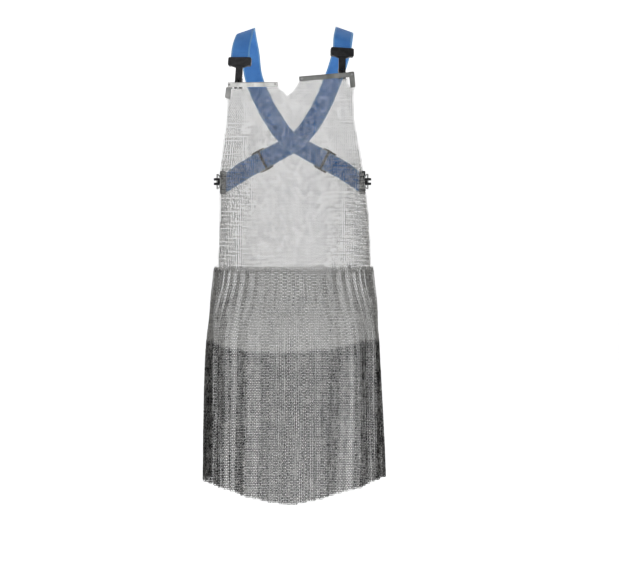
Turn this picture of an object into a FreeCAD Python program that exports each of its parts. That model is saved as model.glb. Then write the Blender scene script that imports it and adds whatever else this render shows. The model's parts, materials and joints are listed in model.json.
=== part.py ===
import FreeCAD, Part
import math
import os

# Ring-mesh butcher apron as it is worn, in millimetres.  +Z is up, +X is to the right of
# someone facing the wearer, -Y is out of the wearer's chest.  The origin is midway between
# the two shoulders, level with the tops of the shoulder straps.

V = FreeCAD.Vector
SIDES = ("left", "right")
SIGN = {"left": -1, "right": 1}

# ---- mesh panels: (height, edge at the left, edge at the right, half width and depth of the form) ----
BIB_STATIONS = (
    (-96, -136, 120, 262, 109),
    (-190, -143, 132, 215, 117),
    (-285, -156, 149, 170, 120),
    (-392, -158, 163, 169, 117),
    (-508, -162, 168, 172, 115),
)
BIB_THICK = 2.5
NECK_LOW = (-13, -143)             # bottom of the neck notch, in X and Z
NECK_STEP = (5, -128)              # its right side breaks here

# ---- skirt: (height, half width and depth of the form, how far round the form it reaches) ----
SKIRT_STATIONS = (
    (-514, 172, 115, 88),
    (-600, 184, 120, 93),
    (-700, 190, 122, 97),
    (-1012, 196, 124, 100),
)
SKIRT_THICK = 6
HEM_LOW = (5, -1010)
HEM_CORNER = (196, -957)
JOIN_TOP, JOIN_BOTTOM = -508, -514
SECTION_STEPS = 12

# ---- stays: folded steel channels that grip the top edge of the bib ----
STAY_LENGTH, STAY_DEEP, STAY_HIGH, STAY_WALL = 108, 6.4, 10.5, 1.0
STAY_CENTRE = {"left": (-85.5, -102, -116), "right": (66.7, -103, -99.5)}
STAY_YAW = {"left": -8.6, "right": 8.6}
STAY_ROLL = {"left": 0, "right": -5.5}
CLAMP_THICK = 2.8
TAIL_WIDE, TAIL_DEEP, TAIL_WALL = 10.8, 6.2, 1.1
TAIL_X = {"left": 52, "right": 59.4}
TAIL_TOP = {"left": -5.4, "right": 6}
TAIL_BOTTOM = {"left": -29, "right": -28}
TAIL_TONGUE_X = 45
TAIL_LEAN = {"left": 7, "right": 0}  # the foot of the tail stands out by this many degrees
TAIL_RIVET_X = {"left": 50.6, "right": 59.4}
RIVET_R, RIVET_HEAD_R, RIVET_HEAD = 1.4, 2.4, 0.6

# ---- rod behind each stay, that the front hook swings on ----
ROD_R, ROD_HALF, ROD_BACK = 2, 14.5, 11
LUG_X, LUG_THICK, LUG_R = 12.5, 3, 3.2
HOOK_X = {"left": 33.4, "right": 40}

# ---- plastic hook, in its own frame: rod axis along X at the origin, stem up +Z, mouth at +Y ----
EYE_R, EYE_OUT = 4.6, 7.6
STEM_WIDE, STEM_FRONT, STEM_BACK = 15, -3, 2.2
STEM_TOP, FLARE_LOW = 43, 39
PRONG_GAP, GAP_TOP = 4.6, 15
HEAD_WIDE, HEAD_DEEP, HEAD_TOP = 50, 10, 62
POCKET_WIDE, POCKET_DEEP, POCKET_LOW = 42.4, 6.8, 47
WEB_PIN_Z, WEB_PIN_R = 53, 1.5
GATE_Y, GATE_Z, GATE_PIN_R = 6.4, 13, 1.0
GATE_WIDE, GATE_LOW, GATE_HIGH, GATE_THICK = 10.6, 1.4, 16, 2
CHEEK_IN, CHEEK_LOW, CHEEK_HIGH, CHEEK_BACK = 5.6, 9.5, 16.5, 8.6
HOOK_LEAN = 15
HOOK_CANT = {"left": 1, "right": 3}

# ---- webbing ----
WEB_WIDE, WEB_THICK = 40, 1.5
LOOP_IN = 1.65
LOOP_SEWN, LOOP_END = 66, 73
WEB_GAP = 0.8                      # between the hook's sewn loop and the strap that goes on from it
SHOULDER_X = {"left": -101, "right": 111}
SHOULDER_Z = {"left": 7, "right": 9}
SHOULDER_TILT = 0.36                # the outer edge of the webbing lies lower, as the shoulder slopes
CROSS_LIFT = {"left": 0, "right": 5}
ADJUST_START, ADJUST_END = (26, 127, -243), (112, 106, -292)
RETURN_LIFT = 2.0
OVER_SHOULDER = (0, 1, 0)          # the way the webbing runs at the top of the shoulder

# ---- steel ring on each side edge of the bib, that the rear hook clips to ----
RING_Z, RING_R, RING_WIRE = -320, 15.5, 1.6
RING_OUT = {"left": 16, "right": 13}
REAR_TURN = 12                     # the rear hooks point back and this many degrees inwards

# ---- slider on each rear strap ----
SLIDER_WIDE, SLIDER_LONG, SLIDER_BAR, SLIDER_THICK = 48, 30, 5, 2
SLIDER_CLEAR = 0.5


def blend_of(a, b, t):
    """Value a share t of the way from a to b."""
    return a + (b - a) * t


def form_point(angle, half_width, depth, z, inwards=0.0):
    """Point on the wearer's oval form, angle in degrees from straight ahead."""
    t = math.radians(angle)
    x, y = half_width * math.sin(t), -depth * math.cos(t)
    n = V(x / half_width ** 2, y / depth ** 2, 0)
    n.normalize()
    return V(x, y, z) - n * inwards


def angle_at(x, half_width):
    return math.degrees(math.asin(x / half_width))


def sheet_section(z, low, high, half_width, depth, thick):
    """Closed outline of a sheet round the form at one height, between two angles."""
    angles = [blend_of(low, high, i / SECTION_STEPS) for i in range(SECTION_STEPS + 1)]
    front, back = Part.BSplineCurve(), Part.BSplineCurve()
    outside = [form_point(a, half_width, depth, z) for a in angles]
    inside = [form_point(a, half_width, depth, z, thick) for a in angles]
    front.interpolate(outside)
    back.interpolate(inside)
    sides = [Part.makeLine(outside[-1], inside[-1]), Part.makeLine(outside[0], inside[0])]
    return Part.Wire(Part.__sortEdges__([front.toShape(), sides[0], back.toShape(), sides[1]]))


def plate(points, y_low, y_high):
    """Flat outline of (x, z) points in the XZ plane, made solid from y_low to y_high."""
    corners = [V(x, y_low, z) for x, z in points]
    face = Part.Face(Part.makePolygon(corners + corners[:1]))
    return face.extrude(V(0, y_high - y_low, 0))


def box(x, y, z):
    """Solid between two values on each axis."""
    return Part.makeBox(x[1] - x[0], y[1] - y[0], z[1] - z[0], V(x[0], y[0], z[0]))


def rod(radius, x_low, x_high, y, z):
    """Round bar along X."""
    return Part.makeCylinder(radius, x_high - x_low, V(x_low, y, z), V(1, 0, 0))


def turned(base, *turns):
    """Placement at base, after turns of (axis, degrees) made in the order given."""
    rotation = FreeCAD.Rotation()
    for axis, degrees in turns:
        rotation = FreeCAD.Rotation(axis, degrees).multiply(rotation)
    return FreeCAD.Placement(V(*base), rotation)


def placed(shape, placement, mirrored=False):
    """Copy of a shape, mirrored left to right if asked, then moved to its place."""
    copy = shape.mirror(V(0, 0, 0), V(1, 0, 0)) if mirrored else shape.copy()
    copy.transformShape(placement.toMatrix(), True)
    return copy


def stay_place(side):
    return turned(STAY_CENTRE[side], (V(0, 1, 0), STAY_ROLL[side]), (V(0, 0, 1), STAY_YAW[side]))


def rod_centre(side):
    return stay_place(side).multVec(V(SIGN[side] * HOOK_X[side], ROD_BACK, 0))


def front_hook_place(side):
    return turned(rod_centre(side), (V(1, 0, 0), -HOOK_LEAN), (V(0, 1, 0), HOOK_CANT[side]),
                  (V(0, 0, 1), STAY_YAW[side]))


# ---------------------------------------------------------------- mesh panels
def stay_foot(side, along):
    """Point just under a stay, at a share of its half length outwards, as (x, z)."""
    p = stay_place(side).multVec(V(SIGN[side] * along * STAY_LENGTH / 2, 0, -STAY_HIGH / 2 - 0.1))
    return p.x, p.z


def bib_mesh():
    wires = []
    for z, left, right, half_width, depth in BIB_STATIONS:
        low, high = angle_at(left, half_width), angle_at(right, half_width)
        wires.append(sheet_section(z, low, high, half_width, depth, BIB_THICK))
    sheet = Part.makeLoft(wires, True, False)
    outer_left, outer_right = stay_foot("left", 1.3), stay_foot("right", 1.3)
    outline = [outer_left, stay_foot("left", -1), NECK_LOW, NECK_STEP, stay_foot("right", -1),
               outer_right, (outer_right[0], 0), (outer_left[0], 0)]
    sheet = sheet.cut(plate(outline, -200, 200))
    for side in SIDES:
        sheet = sheet.cut(placed(tail_space(side), stay_place(side), side == "left"))
        sheet = sheet.cut(side_ring(side, 0.3))
    return sheet


def skirt_mesh():
    wires = [sheet_section(z, -wrap, wrap, half_width, depth, SKIRT_THICK)
             for z, half_width, depth, wrap in SKIRT_STATIONS]
    sheet = Part.makeLoft(wires, True, False)
    x, z = HEM_CORNER
    wide = x + 20
    hem = Part.Arc(V(-x, -200, z), V(HEM_LOW[0], -200, HEM_LOW[1]), V(x, -200, z)).toShape()
    rest = Part.makePolygon([V(x, -200, z), V(wide, -200, z), V(wide, -200, z - 200),
                             V(-wide, -200, z - 200), V(-wide, -200, z), V(-x, -200, z)])
    below = Part.Face(Part.Wire([hem] + rest.Edges)).extrude(V(0, 400, 0))
    return sheet.cut(below)


def waist_join_rings():
    """Doubled row of rings that hangs the gathered skirt from the bib."""
    z, left, right, half_width, depth = BIB_STATIONS[-1]
    low, high = angle_at(left, half_width), angle_at(right, half_width)
    ends = [sheet_section(z, low, high, half_width, depth, BIB_THICK + 1)
            for z in (JOIN_BOTTOM, JOIN_TOP)]
    return Part.makeLoft(ends, True, True)


# ---------------------------------------------------------------- stays (outer end at +X)
def rivet_spots(side):
    """Across the stay: one rivet at its inner end, one through the tail's tongue."""
    return -STAY_LENGTH / 2 + 5, TAIL_RIVET_X[side]


def stay_rivets(side):
    made = []
    for x in rivet_spots(side):
        shank = Part.makeCylinder(RIVET_R, STAY_DEEP, V(x, -STAY_DEEP / 2, 0), V(0, 1, 0))
        for y in (-STAY_DEEP / 2 - RIVET_HEAD, STAY_DEEP / 2):
            shank = shank.fuse(Part.makeCylinder(RIVET_HEAD_R, RIVET_HEAD, V(x, y, 0), V(0, 1, 0)))
        made.append(shank.removeSplitter())
    return Part.makeCompound(made)


def rivet_holes(side):
    holes = [Part.makeCylinder(RIVET_R, 20, V(x, -10, 0), V(0, 1, 0)) for x in rivet_spots(side)]
    return Part.makeCompound(holes)


def stay_channel(side):
    half, deep, high = STAY_LENGTH / 2, STAY_DEEP / 2, STAY_HIGH / 2
    outer = box((-half, half), (-deep, deep), (-high, high))
    folds = [e for e in outer.Edges
             if e.BoundBox.XLength > half and e.CenterOfMass.z > high - 0.1]
    outer = outer.makeFillet(1.6, folds)
    corners = [e for e in outer.Edges if e.BoundBox.YLength > deep and e.CenterOfMass.z < -high + 0.1]
    outer = outer.makeFillet(1.4, corners)
    groove = box((-half - 1, half + 1), (STAY_WALL - deep, deep - STAY_WALL),
                 (-high - 1, high - STAY_WALL))
    return outer.cut(groove).cut(rivet_holes(side))


def clamped_rings(side):
    """Top row of rings, squeezed flat inside the channel."""
    strip = box((-STAY_LENGTH / 2 + 1, TAIL_TONGUE_X - 0.5), (-CLAMP_THICK / 2, CLAMP_THICK / 2),
                (-STAY_HIGH / 2, STAY_HIGH / 2 - STAY_WALL - 0.3))
    return strip.cut(rivet_holes(side))


def tail_span(side):
    x = TAIL_X[side]
    return x - TAIL_WIDE / 2, x + TAIL_WIDE / 2


def tail_space(side):
    """Room that the side edge of the bib leaves for the tail."""
    low, high = tail_span(side)
    return box((low - 0.5, high + 14), (-8, 8), (TAIL_BOTTOM[side] - 0.5, TAIL_TOP[side] + 12))


def stay_tail(side):
    """Folded tab that turns down from the outer end of the stay over the side edge."""
    low, high = tail_span(side)
    deep = TAIL_DEEP / 2
    tab = box((low, high), (-deep, deep), (TAIL_BOTTOM[side], TAIL_TOP[side]))
    corners = [e for e in tab.Edges if e.BoundBox.YLength > deep and e.CenterOfMass.x > high - 0.1]
    tab = tab.makeFillet(2.6, corners)
    inner = deep - TAIL_WALL
    tab = tab.cut(box((low - 1, high - TAIL_WALL), (-inner, inner),
                      (TAIL_BOTTOM[side] - 1, TAIL_TOP[side] - TAIL_WALL)))
    tab.rotate(V(TAIL_X[side], 0, TAIL_TOP[side]), V(0, 1, 0), -TAIL_LEAN[side])
    high_enough = STAY_HIGH / 2 - STAY_WALL - 0.3
    tongue = box((TAIL_TONGUE_X, high - TAIL_WALL), (-CLAMP_THICK / 2, CLAMP_THICK / 2),
                 (-STAY_HIGH / 2 + 0.6, high_enough))
    if side == "left":
        tongue = box((TAIL_TONGUE_X, STAY_LENGTH / 2), (-CLAMP_THICK / 2, CLAMP_THICK / 2),
                     (TAIL_TOP[side] - 4, high_enough))
        tab = tab.fuse(box((low + 1, high - 1), (-inner, inner),
                           (TAIL_TOP[side] - 4, TAIL_TOP[side])))
    return tab.fuse(tongue).removeSplitter().cut(rivet_holes(side))


def stay_rod(side):
    x = HOOK_X[side]
    return rod(ROD_R, x - ROD_HALF, x + ROD_HALF, ROD_BACK, 0)


def stay_lugs(side):
    """Two plates welded to the back of the channel, that carry the rod."""
    lugs = []
    for x in (HOOK_X[side] - LUG_X, HOOK_X[side] + LUG_X):
        low, high = x - LUG_THICK / 2, x + LUG_THICK / 2
        lug = box((low, high), (STAY_DEEP / 2, ROD_BACK), (-LUG_R, LUG_R))
        lug = lug.fuse(rod(LUG_R, low, high, ROD_BACK, 0))
        lugs.append(lug.cut(rod(ROD_R, low - 1, high + 1, ROD_BACK, 0)).removeSplitter())
    return Part.makeCompound(lugs)


# ---------------------------------------------------------------- hook
def hook_body():
    half, head = STEM_WIDE / 2, HEAD_WIDE / 2
    eye = rod(EYE_OUT, -half, half, 0, 0)
    stem = box((-half, half), (STEM_FRONT, STEM_BACK), (0, STEM_TOP + 1))
    flare = plate([(-half, FLARE_LOW), (half, FLARE_LOW), (head - 5, STEM_TOP + 0.5),
                   (5 - head, STEM_TOP + 0.5)], STEM_FRONT, STEM_BACK)
    block = box((-head, head), (-HEAD_DEEP / 2, HEAD_DEEP / 2), (STEM_TOP, HEAD_TOP))
    ends = [e for e in block.Edges if e.BoundBox.YLength > 1]
    block = block.makeFillet(3.5, ends)
    rims = [e for e in block.Edges if abs(abs(e.CenterOfMass.y) - HEAD_DEEP / 2) < 0.01]
    block = block.makeFillet(1.2, rims)
    body = stem.fuse(eye).fuse(flare).fuse(block)
    for sign in (-1, 1):
        spans = sorted((sign * CHEEK_IN, sign * half))
        cheek = box(spans, (STEM_BACK - 1, CHEEK_BACK), (CHEEK_LOW, CHEEK_HIGH))
        body = body.fuse(cheek)
    body = body.cut(rod(EYE_R, -half - 1, half + 1, 0, 0))
    body = body.cut(eye_mouth())
    body = body.cut(box((-PRONG_GAP / 2, PRONG_GAP / 2), (-20, 20), (-20, GAP_TOP)))
    body = body.cut(box((-POCKET_WIDE / 2, POCKET_WIDE / 2), (-POCKET_DEEP / 2, POCKET_DEEP / 2),
                        (POCKET_LOW, HEAD_TOP + 5)))
    body = body.cut(rod(WEB_PIN_R, -head - 1, head + 1, 0, WEB_PIN_Z))
    body = body.cut(rod(GATE_PIN_R, -head, head, GATE_Y, GATE_Z))
    return body.removeSplitter()


def eye_mouth():
    """Opening at the back of the eye, from 5 to 75 degrees above level."""
    far = 3 * EYE_OUT
    rays = [V(-20, far * math.cos(math.radians(a)), far * math.sin(math.radians(a))) for a in (5, 75)]
    points = [V(-20, 0, 0), rays[0], V(-20, far, rays[1].z), rays[1], V(-20, 0, 0)]
    wedge = Part.Face(Part.makePolygon(points)).extrude(V(40, 0, 0))
    shell = rod(EYE_OUT + 0.01, -20, 20, 0, 0).cut(rod(EYE_R - 0.01, -20, 20, 0, 0))
    return wedge.common(shell)


def hook_gate():
    """Sprung tongue that closes the mouth."""
    half = GATE_WIDE / 2
    tongue = box((-half, half), (GATE_Y + 0.8 - GATE_THICK, GATE_Y + 0.8), (GATE_LOW, GATE_HIGH))
    hub = rod(2.2, -half, half, GATE_Y, GATE_Z)
    return tongue.fuse(hub).removeSplitter().cut(rod(GATE_PIN_R + 0.05, -half - 1, half + 1, GATE_Y, GATE_Z))


def gate_pin():
    return rod(GATE_PIN_R, -STEM_WIDE / 2, STEM_WIDE / 2, GATE_Y, GATE_Z)


def web_pin():
    return rod(WEB_PIN_R, -HEAD_WIDE / 2 + 0.5, HEAD_WIDE / 2 - 0.5, 0, WEB_PIN_Z)


def web_loop():
    """Sewn loop of webbing round the pin in the hook's head."""
    half = WEB_WIDE / 2
    out = LOOP_IN + WEB_THICK

    def ring(radius, top_half, straight, sewn, end):
        bottom = Part.Arc(V(-half, -radius, WEB_PIN_Z), V(-half, 0, WEB_PIN_Z - radius),
                          V(-half, radius, WEB_PIN_Z)).toShape()
        path = [V(-half, radius, WEB_PIN_Z), V(-half, radius, straight), V(-half, top_half, sewn)]
        if top_half > 0:
            path += [V(-half, top_half, end), V(-half, -top_half, end)]
        path += [V(-half, -top_half, sewn), V(-half, -radius, straight), V(-half, -radius, WEB_PIN_Z)]
        clean = [p for i, p in enumerate(path) if i == 0 or (p - path[i - 1]).Length > 1e-6]
        return Part.Face(Part.Wire([bottom] + Part.makePolygon(clean).Edges)).extrude(V(WEB_WIDE, 0, 0))

    outer = ring(out, WEB_THICK, HEAD_TOP + 0.5, LOOP_SEWN + 1, LOOP_END)
    inner = ring(LOOP_IN, 0.0, HEAD_TOP - 1, LOOP_SEWN - 1, LOOP_SEWN)
    return outer.cut(inner)


# ---------------------------------------------------------------- rings on the bib's side edges
def bib_edge(side):
    """Point on the side edge of the bib at ring height, and the way round the form from it."""
    above, below = BIB_STATIONS[2], BIB_STATIONS[3]
    share = (RING_Z - above[0]) / (below[0] - above[0])
    column = 1 if side == "left" else 2
    half_width, depth = (blend_of(above[i], below[i], share) for i in (3, 4))
    t = math.radians(blend_of(angle_at(above[column], above[3]), angle_at(below[column], below[3]), share))
    point = form_point(math.degrees(t), half_width, depth, RING_Z, BIB_THICK / 2)
    round_form = V(half_width * math.cos(t), depth * math.sin(t), 0) * SIGN[side]
    round_form.normalize()
    return point, round_form


def side_ring(side, grow=0.0):
    """D-shaped steel ring: its bow goes through the mesh, its straight leg stands clear."""
    onwards = bib_edge(side)[1]
    wire = RING_WIRE + grow
    bow = Part.makeTorus(RING_R, wire, V(0, 0, 0), V(0, 1, 0))
    bow = bow.cut(box((0, 2 * RING_R), (-2 * RING_R, 2 * RING_R), (-2 * RING_R, 2 * RING_R)))
    leg = Part.makeCylinder(wire, 2 * RING_R, V(0, 0, -RING_R))
    knobs = [Part.makeSphere(wire, V(0, 0, z)) for z in (-RING_R, RING_R)]
    ring = bow.fuse(leg).fuse(knobs[0]).fuse(knobs[1])
    up = V(0, 0, 1)
    turn = FreeCAD.Rotation(onwards, up.cross(onwards), up, "XZY")
    return placed(ring, FreeCAD.Placement(leg_centre(side), turn))


def leg_centre(side):
    point, onwards = bib_edge(side)
    return point + onwards * RING_OUT[side]


def rear_hook_place(side):
    """The rear hook lies along the wearer's side, its stem pointing back."""
    turn = math.radians(REAR_TURN)
    back = V(-SIGN[side] * math.sin(turn), math.cos(turn), 0)
    inward = V(-SIGN[side] * math.cos(turn), -math.sin(turn), 0)
    return FreeCAD.Placement(leg_centre(side), FreeCAD.Rotation(inward.cross(back), inward, back, "ZYX"))


# ---------------------------------------------------------------- webbing that lies on the wearer
def ribbon(points, faces, steps, set_off, arrive):
    """Webbing along a smooth line through points, turned outwards as faces say.

    It sets off and arrives along the given directions, so that lengths meet face to face."""
    curve = Part.BSplineCurve()
    spots = [V(*p) for p in points]
    first_way, last_way = V(*set_off).normalize(), V(*arrive).normalize()
    curve.interpolate(Points=spots, InitialTangent=first_way, FinalTangent=last_way, Scale=False)
    first, last = curve.FirstParameter, curve.LastParameter
    at = [curve.parameter(V(*p)) for p in points]
    wires = []
    for i in range(steps + 1):
        u = blend_of(first, last, i / steps)
        k = max(0, min(len(at) - 2, sum(1 for a in at if a <= u) - 1))
        t = (u - at[k]) / (at[k + 1] - at[k])
        face = V(*faces[k]) * (1 - t) + V(*faces[k + 1]) * t
        along = V(*curve.tangent(u)[0])
        across = along.cross(face)
        across.normalize()
        out = across.cross(along)
        out.normalize()
        here = curve.value(u)
        a, o = across * (WEB_WIDE / 2), out * (WEB_THICK / 2)
        wires.append(Part.makePolygon([here - a - o, here + a - o, here + a + o, here - a + o,
                                       here - a - o]))
    return Part.makeLoft(wires, True, False)


def strap_front(side):
    """From the front hook up over the collar bone to the top of the shoulder."""
    place = front_hook_place(side)
    start = place.multVec(V(0, 0, LOOP_END + WEB_GAP))
    facing = place.Rotation.multVec(V(0, -1, 0))
    x, z = SHOULDER_X[side], SHOULDER_Z[side]
    mid = (blend_of(start.x, x, 0.6), -40, blend_of(start.z, z, 0.74))
    top = (x, -5, z)
    tilt = SIGN[side] * SHOULDER_TILT
    points = [tuple(start), mid, top]
    faces = [tuple(facing), (tilt * 0.7, -0.6, 0.75), (tilt, -0.05, 1)]
    return ribbon(points, faces, 12, tuple(place.Rotation.multVec(V(0, 0, 1))), OVER_SHOULDER)


def rear_route(side):
    """Points and outward directions from the shoulder top to the adjusting length."""
    s, lift = SIGN[side], CROSS_LIFT[side]
    x, z = abs(SHOULDER_X[side]), SHOULDER_Z[side]
    points = [(s * x, -5, z), (s * x, 24, z - 6), (s * (x - 7), 62, -38), (s * 86, 96, -92),
              (s * 56, 118 + lift, -158), (s * 14, 126 + lift, -218),
              tuple(adjust_ends(side)[0])]
    faces = [(s * SHOULDER_TILT, -0.05, 1), (s * 0.3, 0.4, 0.9), (s * 0.2, 0.8, 0.6), (s * 0.25, 0.95, 0.25),
             (s * 0.1, 1, 0.1), (-s * 0.1, 1, 0), adjust_face(side)]
    return points, faces


def adjust_ends(side):
    """The adjusting length of a strap ends on the other side of the back from its shoulder."""
    s = -SIGN[side]
    start = V(s * ADJUST_START[0], ADJUST_START[1] + CROSS_LIFT[side], ADJUST_START[2])
    end = V(s * ADJUST_END[0], ADJUST_END[1], ADJUST_END[2])
    return start, end


def adjust_face(side):
    start, end = adjust_ends(side)
    along = end - start
    out = V(-along.y, along.x, 0)
    if out.y < 0:
        out = out * -1
    out.normalize()
    return tuple(out)


def adjust_way(side):
    start, end = adjust_ends(side)
    return tuple((end - start).normalize())


def strap_back(side):
    points, faces = rear_route(side)
    return ribbon(points, faces, 20, OVER_SHOULDER, adjust_way(side))


def strap_adjust(side):
    """Straight length that the slider runs on."""
    start, end = adjust_ends(side)
    points = [tuple(start), tuple((start + end) * 0.5), tuple(end)]
    return ribbon(points, [adjust_face(side)] * 3, 2, adjust_way(side), adjust_way(side))


def strap_side(side, lift=0.0):
    """From the adjusting length round the wearer's side to the rear hook."""
    start, end = adjust_ends(side)
    other = "left" if side == "right" else "right"
    place = rear_hook_place(other)
    finish = place.multVec(V(0, 0, LOOP_END + WEB_GAP))
    facing = place.Rotation.multVec(V(0, -1, 0))
    s = SIGN[other]
    bend = V(s * 136, 80, -311)
    out = V(*adjust_face(side))
    points = [end, bend, finish]
    faces = [out, V(s * 0.8, 0.6, 0), facing]
    lifted = [tuple(p + f * lift) for p, f in zip(points, faces)]
    arrive = tuple(place.Rotation.multVec(V(0, 0, -1)))
    return ribbon(lifted, [tuple(f) for f in faces], 14, adjust_way(side), arrive)


def slider(side):
    """Ladder slider: the strap runs over its middle bar and under its two end bars."""
    start, end = adjust_ends(side)
    along = end - start
    along.normalize()
    out = V(*adjust_face(side))
    across = along.cross(out)
    gap = WEB_THICK / 2 + SLIDER_CLEAR
    long, wide, rail = SLIDER_LONG / 2, SLIDER_WIDE / 2, (SLIDER_WIDE - WEB_WIDE) / 2 - SLIDER_CLEAR
    deep = gap + SLIDER_THICK
    pieces = [box((-wide, wide), (gap, deep), (z, z + SLIDER_BAR)) for z in (-long, long - SLIDER_BAR)]
    pieces.append(box((-wide, wide), (-deep, -gap), (-SLIDER_BAR / 2, SLIDER_BAR / 2)))
    pieces += [box((x, x + rail), (-deep, deep), (-long, long)) for x in (-wide, wide - rail)]
    frame = pieces[0]
    for piece in pieces[1:]:
        frame = frame.fuse(piece)
    frame = frame.removeSplitter()
    place = FreeCAD.Placement((start + end) * 0.5, FreeCAD.Rotation(across, out, along, "ZYX"))
    return placed(frame, place)


# ---------------------------------------------------------------- assembly
def all_nodes():
    nodes = {"bib_mesh": bib_mesh(), "skirt_mesh": skirt_mesh(), "waist_join_rings": waist_join_rings()}
    stay_parts = {"stay_channel": stay_channel, "clamped_rings": clamped_rings, "stay_tail": stay_tail,
                  "stay_rivets": stay_rivets, "stay_rod": stay_rod, "stay_lugs": stay_lugs}
    hook_parts = {"hook": hook_body, "hook_gate": hook_gate, "gate_pin": gate_pin, "web_pin": web_pin,
                  "web_loop": web_loop}
    straps = {"shoulder_strap_front": strap_front, "shoulder_strap_back": strap_back,
              "shoulder_strap_adjust": strap_adjust, "shoulder_strap_side": strap_side,
              "strap_slider": slider}
    for side in SIDES:
        for name, make in stay_parts.items():
            nodes[side + "_" + name] = placed(make(side), stay_place(side), side == "left")
        for name, make in hook_parts.items():
            nodes[side + "_front_" + name] = placed(make(), front_hook_place(side))
            nodes[side + "_rear_" + name] = placed(make(), rear_hook_place(side))
        for name, make in straps.items():
            nodes[side + "_" + name] = make(side)
        nodes[side + "_strap_return"] = strap_side(side, RETURN_LIFT)
        nodes[side + "_side_ring"] = side_ring(side)
    return nodes


def main():
    os.makedirs("parts", exist_ok=True)
    for name, shape in all_nodes().items():
        if not shape.isValid() or not all(s.isClosed() for s in shape.Solids) or shape.Volume < 1:
            print("CHECK", name, shape.isValid(), len(shape.Solids), shape.Volume)
        shape.exportStep("parts/" + name + ".step")
    for side in SIDES:
        for label, place in (("front", front_hook_place(side)), ("rear", rear_hook_place(side))):
            centre, axis = place.Base, place.Rotation.multVec(V(-1, 0, 0))
            pin = place.multVec(V(0, GATE_Y, GATE_Z))
            print(side, label, "hook axis", tuple(centre), tuple(axis), "gate pin", tuple(pin))
        start, end = adjust_ends(side)
        print(side, "slider", tuple((start + end) * 0.5), tuple((end - start).normalize()))


main()
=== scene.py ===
import bpy
import json
import math
import numpy as np
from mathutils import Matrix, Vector


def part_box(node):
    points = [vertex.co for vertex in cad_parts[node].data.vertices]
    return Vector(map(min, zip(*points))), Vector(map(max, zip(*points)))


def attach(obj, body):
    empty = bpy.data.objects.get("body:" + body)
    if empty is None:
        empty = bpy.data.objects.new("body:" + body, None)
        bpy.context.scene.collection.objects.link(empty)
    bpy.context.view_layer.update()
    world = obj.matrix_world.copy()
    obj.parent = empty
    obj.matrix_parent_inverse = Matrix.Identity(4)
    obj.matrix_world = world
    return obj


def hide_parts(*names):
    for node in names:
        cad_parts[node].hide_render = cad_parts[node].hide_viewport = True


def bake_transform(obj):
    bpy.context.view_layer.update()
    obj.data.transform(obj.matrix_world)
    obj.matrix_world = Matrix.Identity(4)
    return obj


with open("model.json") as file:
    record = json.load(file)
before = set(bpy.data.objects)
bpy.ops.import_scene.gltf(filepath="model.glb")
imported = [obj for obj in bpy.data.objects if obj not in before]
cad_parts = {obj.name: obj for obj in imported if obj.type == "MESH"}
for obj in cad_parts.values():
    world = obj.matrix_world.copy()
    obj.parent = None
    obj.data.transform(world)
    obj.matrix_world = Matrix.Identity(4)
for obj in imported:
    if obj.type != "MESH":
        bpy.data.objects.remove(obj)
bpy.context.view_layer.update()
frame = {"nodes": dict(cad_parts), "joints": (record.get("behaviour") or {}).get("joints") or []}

# Ring-mesh butcher apron, in metres.  The mesh panels are built ring by ring.  Each ring is a
# closed loop of nine straight lengths of three-sided wire, shaded smooth.  On the even lattice
# each ring passes through four others, and the middle lines of the wires stay 1.0 mm apart in
# the bib and in the hanging skirt.  Neighbouring wires cut into each other where the
# skirt is gathered and in the close rows of the waist, and can do so in the bib, where the rings
# are bunched and moved at random.

SIDES = ("left", "right")
SIGN = {"left": -1, "right": 1}
RANDOM = np.random.default_rng(11)

# ---------------------------------------------------------------- the wearer's form and the panels
# Each row: height, left edge, right edge, half width and depth of the oval form.
BIB_STATIONS = np.array((
    (-0.096, -0.138, 0.128, 0.262, 0.109),
    (-0.190, -0.143, 0.132, 0.215, 0.117),
    (-0.285, -0.156, 0.149, 0.170, 0.120),
    (-0.392, -0.158, 0.163, 0.169, 0.117),
    (-0.508, -0.162, 0.168, 0.172, 0.115),
))
BIB_LEFT, BIB_RIGHT, BIB_WIDE, BIB_DEEP = 1, 2, 3, 4
# Each row: height, half width and depth of the oval form.
SKIRT_STATIONS = np.array((
    (-0.511, 0.172, 0.115),
    (-0.600, 0.184, 0.120),
    (-0.700, 0.190, 0.122),
    (-1.012, 0.196, 0.124),
))
SKIRT_WIDE, SKIRT_DEEP = 1, 2
STATION_BLEND = 0.03                    # the stations' line is rounded over this height
NECK_LOW, NECK_STEP = (-0.013, -0.143), (0.005, -0.128)     # across and up
BIB_TOP, BIB_END = 0.101, 0.5095        # first and last row of rings, down from the origin
BIB_REACH = 0.235
SKIRT_TOP = -0.511
SKIRT_HALF = 0.275                      # half the skirt's width, with its columns drawn together
HEM_LOW, HEM_SIDE = -1.008, -0.957
HEM_MIDDLE = 0.012                      # the hem is lowest this far left of the middle
MESH_BACK = 0.0015                      # the rings' middle lies this far inside the form
FORM_REACH, ARC_STEPS = 118, 181        # degrees to each side, and steps, of the form's arc

# ---------------------------------------------------------------- rings
BIB_WIRE, SKIRT_WIRE, LOW_WIRE = 0.00043, 0.00041, 0.00047  # radius of the ring wire
RING_R = 0.0031
RING_STEPS, WIRE_STEPS = 9, 3
WIRE_FILL = 1.1                         # a wire of three sides is widened, to look round
TILT, SKIRT_TILT = math.radians(36), math.radians(49)
TILT_SPREAD = 0.07
PITCH, ROW = 0.0046, 0.0036
WAIST_PITCH = 0.0047
SKIRT_PITCH = 0.0030                    # the hanging skirt draws its columns together
RING_JITTER = 0.0003
MAX_RINGS = 3600                        # in one object
FRAME_STEP = 0.002                      # reach over which a surface's directions are taken

# ---------------------------------------------------------------- webbing
WEB_HALF, WEB_THICK = 0.020, 0.0015


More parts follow.
